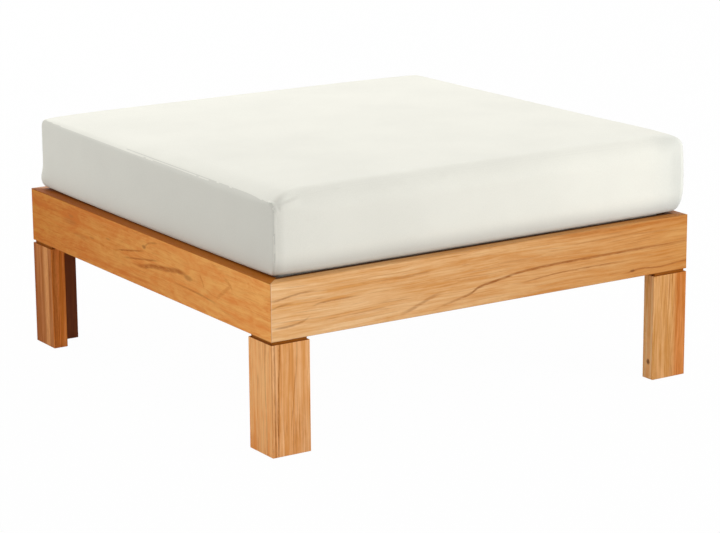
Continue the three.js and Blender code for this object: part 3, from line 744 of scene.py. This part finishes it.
def cushion_grid(fine):
    """Vertices and faces of the closed cover."""
    levels = cushion_levels(fine)
    us, vs = grid_lines(fine)
    arc = ARC_STEPS[fine]
    nu, nv = len(us), len(vs)
    ratios_u, ratios_v = ((lines - lines[0]) / (lines[-1] - lines[0]) for lines in (us, vs))

    def bend(cx, cy, radius, quarter):
        angles = [math.pi / 2 * (quarter + k / (arc + 1)) for k in range(1, arc + 1)]
        return [(cx + radius * math.cos(a), cy + radius * math.sin(a)) for a in angles]

    def ring(height, half):
        """One row all round, and its front, back, left and right."""
        ends = np.array([(FRONT, BACK), (FRONT, BACK), (LEFT, RIGHT), (LEFT, RIGHT)])
        x0, x1, y0, y1 = limits = [side_place(k, ends[k], height, half) for k in range(4)]
        cut = [1 - float(rounding(end, TOP - height)) / end for _, end in EDGES]
        near, far = (upright * share for upright, share in zip(UPRIGHTS, cut))
        xs = [x0[k] + near + ratios_u * (x1[k] - x0[k] - near - far) for k in (0, 1)]
        ys = [y0[k] + r + ratios_v * (y1[k] - y0[k] - 2 * r) for k, r in enumerate((near, far))]
        rims = [side_place(k, (*ys, *xs)[k], height, half) for k in range(4)]
        # the rims meet their corner arcs exactly
        for k, limit in enumerate(limits):
            share = ratios_v if k < 2 else ratios_u
            first, last = limit - rims[k][[0, -1]]
            rims[k] = rims[k] + first * (1 - share) ** 24 + last * share**24
        pairs = ((xs[0], rims[2]), (xs[1], rims[3]), (rims[0], ys[0]), (rims[1], ys[1]))
        front, back, left, right = sides = [np.stack(pair, 1) for pair in pairs]
        points = np.concatenate([
            front, bend(xs[0][-1], y0[1] + far, far, -1),
            right, bend(xs[1][-1], y1[1] - far, far, 0),
            back[::-1], bend(xs[1][0], y1[0] - near, near, 1),
            left[::-1], bend(xs[0][0], y0[0] + near, near, 2),
        ])
        return [(*point, height) for point in points], sides

    vertices, faces, borders = [], [], []
    around = 2 * (nu + nv) + 4 * arc
    for height, half in levels:
        points, sides = ring(height, half)
        vertices += points
        borders.append(sides)
    for base in range(0, (len(levels) - 1) * around, around):
        for i in range(around):
            j = (i + 1) % around
            faces.append((base + i, base + j, base + around + j, base + around + i))

    for level, way in ((len(levels) - 1, 1), (0, -1)):
        base = level * around
        front, back, left, right = borders[level]
        table = {(0, j): base + around - arc - 1 - j for j in range(nv)}
        table.update({(i, nv - 1): base + 2 * (nu + arc) + nv - 1 - i for i in range(nu)})
        table.update({(nu - 1, j): base + nu + arc + j for j in range(nv)})
        table.update({(i, 0): base + i for i in range(nu)})
        for i in range(1, nu - 1):
            for j in range(1, nv - 1):
                a, b = ratios_u[i], ratios_v[j]
                place = (1 - b) * front[i] + b * back[i] + (1 - a) * left[j] + a * right[j]
                place = place - (1 - b) * ((1 - a) * front[0] + a * front[-1])
                place = place - b * ((1 - a) * back[0] + a * back[-1])
                table[i, j] = len(vertices)
                vertices.append((*place, levels[level][0]))
        for i in range(nu - 1):
            for j in range(nv - 1):
                quad = (table[i, j], table[i + 1, j], table[i + 1, j + 1], table[i, j + 1])
                faces.append(quad[::way])
        for start in (nu - 1, nu + arc + nv - 1, 2 * (nu + arc) + nv - 1, around - arc - 1):
            faces.append(tuple(base + (start + k) % around for k in range(arc + 2))[::way])
    return np.array(vertices, float), faces


def shaped(points):
    """The plain cushion with its crown, its flanks' bulge and each corner's own height and droop."""
    x, y, z = points.T
    u = np.clip((2 * x - LEFT - RIGHT) / (RIGHT - LEFT), -1, 1)
    v = np.clip((2 * y - FRONT - BACK) / (BACK - FRONT), -1, 1)
    lift = unit((z - SEAT) / (TOP - SEAT))
    rise = CROWN * (1 - abs(u) ** 3) * (1 - abs(v) ** 3) * lift**6
    for a, b, top, droop, power in CORNERS:
        share = (1 + a * u) * (1 + b * v) / 4
        near = (unit(a * u) * unit(b * v)) ** power
        rise = rise + lift * share * (top - TOP) - droop * near * lift**4
    back, right = ((1 + v) / 2) ** 4, ((1 + u) / 2) ** 4
    rise = rise + lift**2 * BACK_RISE * back * (1 - u**8)
    rise = rise - lift**2 * RIGHT_SINK * right * (1 - abs(v) ** 8) * smooth(v, -0.9, -0.3)
    inward = unit(1 - (x - LEFT) / SEAM_FALL[1])
    z = z + rise - lift * SEAM_FALL[0] * (1 - v) / 2 * inward**2.3

    side_x, side_y = (unit((abs(w) - BULGE_FROM) / (1 - BULGE_FROM)) * np.sign(w) for w in (u, v))
    corner = smooth(u - v, *AT_CORNER)
    x = x - RIGHT_LEAN * corner * smooth(lift, LEAN_FROM, 1.0)
    swelling = BULGE * np.sin(np.pi * lift)
    full = RIGHT_BULGE * corner
    foot = FOOT * smooth(v - u, *AT_CORNER) * bell(lift - FOOT_HEIGHT, FOOT_SPREAD)
    x = x + side_x * (swelling * np.maximum(1 - v**4, full) + foot)
    y = y + side_y * (swelling * np.maximum(1 - u**4, full) + foot)

    reach = unit((np.maximum(abs(x), abs(y)) - RIM) / RIM_RAMP)
    low = unit(1 - (z - SEAT) / DIP_HEIGHT) * reach
    dip = DIP * smooth(-u, 0.9, 1.0) * (1 - v**2)
    lifted = CORNER_LIFT * np.maximum(abs(u), abs(v)) ** 2 * abs(u * v) ** 8
    return np.stack([x, y, z - low * (dip - lifted)], 1)


# Blown-up cover: a coarse copy swells as cloth, its seams drawn in, and lends the fine one its form

SWELL_FRAMES = 20
SWELL_CAP = 0.0055
SWELL_CLOTH = {
    "quality": 6, "mass": 0.25, "tension_stiffness": 18, "compression_stiffness": 18, "shear_stiffness": 8,
    "bending_stiffness": 0.15, "use_pressure": True, "uniform_pressure_force": 4,
    "vertex_group_mass": "held", "vertex_group_shrink": "seam", "shrink_min": -0.006, "shrink_max": 0.045,
}
SEAM_X, SEAM_Y, SEAM_TOP, SEAM_FOOT = 0.009, 0.004, 0.0045, 0.004  # how near a seam a coarse vertex is
LENT_FROM, LENT_REACH = 8, 0.0075  # how many coarse vertices a fine one follows, and how near


def seam_weight(points):
    """1 on the lines where the end panels are sewn on, by the plain box's own places."""
    x, y, z = points.T
    edge_x = np.minimum(abs(x - LEFT), abs(x - RIGHT)) < SEAM_X
    edge_y = np.minimum(abs(y - FRONT), abs(y - BACK)) < SEAM_Y
    near_top = TOP - z < SEAM_TOP
    return (edge_x & (edge_y | near_top) & (z > SEAT + SEAM_FOOT)).astype(float)


def swell(points, faces):
    """Displacement of each coarse vertex after the cloth has settled."""
    start = shaped(points)
    made = mesh_object("swell", start, faces)
    seam = made.vertex_groups.new(name="seam")
    held = made.vertex_groups.new(name="held")
    for i, weight in enumerate(seam_weight(points)):
        seam.add([i], float(weight), "REPLACE")
        if points[i, 2] < SEAT + 0.001:
            held.add([i], 1.0, "REPLACE")
    cloth = made.modifiers.new("cloth", "CLOTH")
    for key, value in SWELL_CLOTH.items():
        setattr(cloth.settings, key, value)
    cloth.settings.effector_weights.gravity = 0
    cloth.collision_settings.use_collision = False
    cloth.point_cache.frame_start, cloth.point_cache.frame_end = 1, SWELL_FRAMES
    scene = bpy.context.scene
    for step in range(1, SWELL_FRAMES + 1):
        scene.frame_set(step)
    settled = made.evaluated_get(bpy.context.evaluated_depsgraph_get())
    moved = np.array([tuple(v.co) for v in settled.data.vertices]) - start
    scene.frame_set(1)
    bpy.data.meshes.remove(made.data)  # the coarse copy goes with it
    reach = np.linalg.norm(moved, axis=1)
    return moved * (SWELL_CAP / np.maximum(reach, SWELL_CAP))[:, None]


def lent(points, coarse, moved):
    """The coarse copy's displacement at each fine vertex."""
    tree = kdtree.KDTree(len(coarse))
    for i, p in enumerate(coarse):
        tree.insert(p, i)
    tree.balance()
    result = np.zeros_like(points)
    for k, p in enumerate(points):
        found = tree.find_n(p, LENT_FROM)
        weights = np.array([bell(far, LENT_REACH) + 1e-9 for _, _, far in found])
        result[k] = weights @ moved[[i for _, i, _ in found]] / weights.sum()
    return result


# Seams, puckers and creases, pressed into the finished cover along its own normals

CREASES = (  # from, to, half width, depth (a ridge where it is negative)
    ((-0.3822, -0.364, 0.3895), (-0.3775, -0.3845, 0.3855), 0.002, -0.0032),
    ((-0.375, -0.385, 0.3862), (-0.337, -0.381, 0.3905), 0.0014, -0.002),
    ((-0.37, -0.381, 0.3905), (-0.34, -0.376, 0.3945), 0.0026, 0.0022),
    ((-0.379, -0.385, 0.383), (-0.3765, -0.385, 0.374), 0.0014, -0.0009),
    ((-0.3765, -0.385, 0.3835), (-0.373, -0.385, 0.379), 0.0012, 0.0008),
    ((-0.272, -0.378, 0.395), (-0.254, -0.378, 0.397), 0.0016, -0.0018),
    ((-0.16, -0.38, 0.392), (-0.142, -0.38, 0.394), 0.0016, -0.0018),
    ((-0.078, -0.38, 0.3912), (-0.06, -0.38, 0.3925), 0.0016, -0.0018),
)
CREASE_ENDS = (0.08, 0.84)  # keeps a little of a crease's depth at its ends
UPRIGHT_SEAM = (0.0004, 0.0011, 0.00045, 0.006)  # depth, half width, and the puckers' height and reach
UPRIGHT_SWAY, UPRIGHT_OFF = 0.0012, (0.001, 0.0075)  # its swing, and how far from the corner it runs
TOP_SEAM = (0.0005, 0.0012, 0.0003)
TOP_SEAMS = ((LEFT + 0.0024, 0.007), (RIGHT - 0.01, 0.01))  # x, and how far the puckers reach


def puckers(place, share, quick, bend, wander, slow, phase):
    """Uneven waves along a seam: quick ones that wander, and slow ones."""
    wavy = np.sin(place * quick + bend * np.sin(place * wander))
    return wavy * share + np.sin(place * slow + phase) * (1 - share)


def seam_depth(points):
    """How far the seams press each point of the finished cover in, with their puckers."""
    x, y, z = points.T
    deep, width, pucker, reach = UPRIGHT_SEAM
    on_flank = smooth(z, 0.2755, 0.279) * smooth(-z, -TOP, -TOP + 0.006)
    sway = UPRIGHT_SWAY * np.sin(z * 70 + 1.0)
    off = np.hypot(x - LEFT - UPRIGHT_OFF[0], y - FRONT - UPRIGHT_OFF[1] - sway)
    waves = puckers(z, 0.5, 520, 1.3, 95, 310, 0.7) * pucker * np.exp(-off / reach)
    depth = on_flank * (deep * bell(off, width) + waves)
    deep, width, pucker = TOP_SEAM
    on_top = smooth(z, TOP - 0.006, TOP - 0.001)
    on_top = on_top * (1 - 0.7 * smooth(y, -0.1, 0.25))  # the far half of a seam lies smoother
    waves = puckers(y, 0.6, 340, 1.7, 60, 150, 2.0) * pucker
    for place, reach in TOP_SEAMS:
        off = abs(x - place)
        depth += on_top * (deep * bell(off, width) + waves * np.exp(-off / reach))
    return depth


def crease_depth(points):
    depth = np.zeros(len(points))
    for start, end, width, deep in CREASES:
        run = np.array(end) - np.array(start)
        places = points - np.array(start)
        share = unit(places @ run / (run @ run))
        off = np.linalg.norm((places - share[:, None] * run) * (1.0, 0.2, 1.0), axis=1)
        low, span = CREASE_ENDS
        fading = np.sin(np.pi * (low + span * share))
        depth += deep * fading * bell(off, width) * (points[:, 1] < 0)
    return depth


def press_in(made):
    """Seams and creases go in, and the back panel lies flat behind the zip's tapes."""
    mesh = made.data
    co = np.array([tuple(v.co) for v in mesh.vertices])
    normals = np.array([tuple(v.normal) for v in mesh.vertices])
    co -= normals * (seam_depth(co) + crease_depth(co))[:, None]
    x, y, z = co.T
    behind = smooth(-abs(x), -ZIP_REACH - ZIP_FADE, -ZIP_REACH)
    behind *= smooth(-abs(z - ZIP_HEIGHT), -ZIP_HALF - ZIP_FADE, -ZIP_HALF)
    co[:, 1] = np.where(y > 0, y + behind * (np.minimum(y, ZIP_FACE) - y), y)
    co[:, 2] = np.maximum(co[:, 2], BOTTOM)
    mesh.vertices.foreach_set("co", co.ravel())
    mesh.update()


def dress_cover(made):
    """End panels get the second material, a darker copy of the cover fabric that paints shade on the sides,
    and the weave's lengths run on over the wrap panel's rolls.
    """
    mesh = made.data
    uv = mesh.uv_layers.new(name="lengths")
    for polygon in mesh.polygons:
        end = abs(polygon.normal.x) > 0.8
        polygon.material_index = int(end)
        polygon.use_smooth = True
        for loop in polygon.loop_indices:
            p = mesh.vertices[mesh.loops[loop].vertex_index].co
            drop = TOP - p.z if abs(p.y) > BACK - ROLLS[1] else 0.0
            uv.data[loop].uv = (p.y, p.z) if end else (p.x, p.y + math.copysign(drop, p.y))


def make_cushion():
    points, faces = cushion_grid(True)
    places = shaped(points)
    coarse, coarse_faces = cushion_grid(False)
    places += lent(points, coarse, swell(coarse, coarse_faces))
    made = mesh_object("cushion", places, faces, CANVAS, CANVAS_END_SHADED)
    grid = bmesh.new()
    grid.from_mesh(made.data)
    bmesh.ops.remove_doubles(grid, verts=grid.verts, dist=1e-6)
    store(grid, made.data)
    press_in(made)
    dress_cover(made)
    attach(made, "cushion")
    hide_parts("cushion_cover", "cushion_foam")


# Fabric

YARN, YARN_PATCHES = (420.0, 420.0, 420.0), (7.0, 7.0, 7.0)
MOTTLE = 0.94  # the darker patches' share of the colour
GAP_RAMP, GAP_SHARE, GAP_TINT = (0.45, 0.0), 0.14, 0.55  # between the threads
CLOTH_ROUGHNESS = 0.92
CLOTH = {"Specular IOR Level": 0.2, "Sheen Weight": 0.08, "Sheen Roughness": 0.5}
FRONT_DROP = (-0.34, -0.38)  # y over which the wrap panel turns into its front drop
FRONT_DROP_SHADE = (  # axis, from, to, tint: painted shade on the front drop's lower edge, its right end and that end's rim
    (2, SEAT + 0.034, SEAT, (0.76, 0.8, 0.84)),
    (0, 0.31, 0.41, (0.88, 0.9, 0.92)),
    (0, 0.394, 0.4, (0.92, 0.9333, 0.9467)),
)


def woven(name, colour, pitch, strength, uv=True, painted_shade=()):
    """Plain weave: warp over weft by turns, from the panel's own lengths, with uneven yarn."""
    material, tree = new_material(name)
    place = add("TexCoord", tree=tree, out=3)
    lengths = split(scaled(add("TexCoord", tree=tree, out=2) if uv else place, math.pi / pitch))
    over = calc("SINE", lengths[0])
    cross = calc("SINE", lengths[1 if uv else 2])
    warp, weft = calc("ABSOLUTE", over), calc("ABSOLUTE", cross)
    turn = ease(times(over, cross), -0.15, 0.15)
    threads = add("Mix", data_type="FLOAT", named={0: turn, 2: warp, 3: weft})
    yarn = noise(place, YARN, 3.0, 0.6)
    patches = noise(place, YARN_PATCHES, 3.0, 0.55)
    shade = ease(calc("MULTIPLY_ADD", patches, 0.6, times(yarn, 0.4)), 0.3, 0.75)
    tint = blend(shade, colour, [c * MOTTLE for c in colour])
    gaps = times(ease(threads, *GAP_RAMP), GAP_SHARE)
    tint = blend(gaps, tint, [c * GAP_TINT for c in colour])
    places = split(place)
    # painted shade: the front drop darker towards its lower edge and its right end
    for axis, start, full, shade_tint in painted_shade:
        amount = times(ease(places[axis], start, full), ease(places[1], *FRONT_DROP))
        tint = blend(amount, tint, shade_tint, "MULTIPLY")
    deep = calc("MULTIPLY_ADD", yarn, 0.5, threads)
    principled(tint, CLOTH_ROUGHNESS, (strength, pitch * 0.25, deep), CLOTH)
    return material


# Slat screws: countersunk, with a six-lobed recess

SLAT_TOP = 0.261
SCREW_PLACES = ((-0.356, -0.016), (-0.356, 0.016), (0.356, -0.016), (0.356, 0.016), (0.0, 0.0))
SCREW_LOOPS = (  # from the recess's floor to the point: radius, depth below the head's face, lobes
    (0.001615, 0.0013, 0.16), (0.0019, 0.0, 0.16), (0.004032, 0.0, 0.0), (0.0042, 0.0002, 0.0),
    (0.0021, 0.0024, 0.0), (0.0021, 0.017, 0.0), (0.0004, 0.02, 0.0),
)
SCREW_SIDES = 24
HEAD_DROP = 0.0003  # how far the head's face lies below the slat's


def loft(grid, loops):
    """One closed solid through loops of places, added to a bmesh."""
    loops = [[grid.verts.new(place) for place in loop] for loop in loops]
    for a, b in zip(loops, loops[1:]):
        for i in range(len(a)):
            j = (i + 1) % len(a)
            grid.faces.new((a[i], b[i], b[j], a[j]))
    grid.faces.new(loops[0])
    grid.faces.new(loops[-1][::-1])


def screw_loops(x, y):
    angles = [2 * math.pi * k / SCREW_SIDES for k in range(SCREW_SIDES)]
    for radius, depth, lobes in SCREW_LOOPS:
        z = SLAT_TOP - HEAD_DROP - depth
        reach = [radius * (1 + lobes * math.cos(6 * a)) for a in angles]
        yield [(x + r * math.cos(a), y + r * math.sin(a), z) for r, a in zip(reach, angles)]


def make_slat_screws():
    for name in sorted((name for name in nodes if name.startswith("deck_slat_")), key=len):
        y = middle(name)[1]
        grid = bmesh.new()
        for dx, dy in SCREW_PLACES:
            loft(grid, screw_loops(dx, y + dy))
        grid_object(name + "_screws", grid, STEEL, "ottoman_frame")


# Zip: the coil's turns, stitching and end stops on the CAD tapes

CHAIN_FACE, TAPE_FACE = 0.3906, 0.3892  # y of the tapes' thick edge, and of their flat part
CHAIN_ROOM, STOP_ROOM = 0.004, 0.0008  # from the tapes' ends to the coil and stitching, and to the stops
TURN_STEP, STITCH_STEP = 0.0021, 0.0032
TURN_SIZE, STITCH_SIZE, STOP_SIZE = 0.0015, 0.0022, 0.0026
TURNS = (((-0.0017, 0.0003),), ((-0.0003, 0.0017),))  # low and high z of the coil's blocks, by turns
STITCH_ROWS = (((-0.00885, -0.00835), (0.00835, 0.00885)),)
STOP_ROWS = (((-0.003, 0.003),),)


def zip_piece(name, places, size, faces, narrowed, rows, material):
    """Small blocks along the zip between two faces, the outer (+Y) one narrowed in x and z."""
    grid = bmesh.new()
    for k, x in enumerate(places):
        for row in rows[k % len(rows)]:
            low, high = (np.array((a, ZIP_HEIGHT + b)) for a, b in zip((x, x + size), row))
            loops = []
            for y, share in zip(faces, (1.0, narrowed)):
                spots = [(low + high) / 2 + (high - low) / 2 * share * way for way in SQUARE]
                loops.append([(spot[0], y, spot[1]) for spot in spots])
            loft(grid, loops)
    grid_object(name, grid, material, "cushion")


def make_zip_details():
    low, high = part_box("back_zip_upper_tape")
    start, end = low[0] + CHAIN_ROOM, high[0] - CHAIN_ROOM
    turns, stitches = (
        [start + k * step for k in range(int((end - start) / step))] for step in (TURN_STEP, STITCH_STEP)
    )
    stops = (low[0] + STOP_ROOM, high[0] - STOP_ROOM - STOP_SIZE)
    faces = (CHAIN_FACE - 0.0002, CHAIN_FACE + 0.00022)
    zip_piece("zip_coil", turns, TURN_SIZE, faces, 0.7, TURNS, TAPE)
    faces = (TAPE_FACE - 0.0002, TAPE_FACE + 0.00025)
    zip_piece("zip_tape_stitching", stitches, STITCH_SIZE, faces, 0.6, STITCH_ROWS, THREAD)
    faces = (CHAIN_FACE - 0.0004, CHAIN_FACE + 0.0006)
    zip_piece("zip_end_stops", stops, STOP_SIZE, faces, 0.75, STOP_ROWS, NICKEL)


make_camera()
make_stage()
TEAK = teak_group()
dress_wood()
STEEL = metal("stainless_screws", (0.62, 0.62, 0.61), 0.28, 900.0)
NICKEL = metal("zip_metal", (0.7, 0.7, 0.68), 0.22, 500.0)
CANVAS = woven("cover_fabric", (0.885, 0.875, 0.79), 0.0009, 0.35, painted_shade=FRONT_DROP_SHADE)
# painted shade: the end panels get a darker copy of the cover fabric
CANVAS_END_SHADED = woven("cover_fabric_ends_shaded", (0.74, 0.734, 0.663), 0.0009, 0.35)
TAPE = woven("zip_tape", (0.8, 0.79, 0.72), 0.0006, 0.5, uv=False)
THREAD = woven("zip_thread", (0.88, 0.87, 0.8), 0.0004, 0.5, uv=False)
for node in nodes:
    if "screw" in node:
        dress(node, STEEL)
    elif node in ("back_zip_slider", "back_zip_pull"):
        dress(node, NICKEL)
    elif "tape" in node:
        dress(node, TAPE)
make_cushion()
make_slat_screws()
make_zip_details()
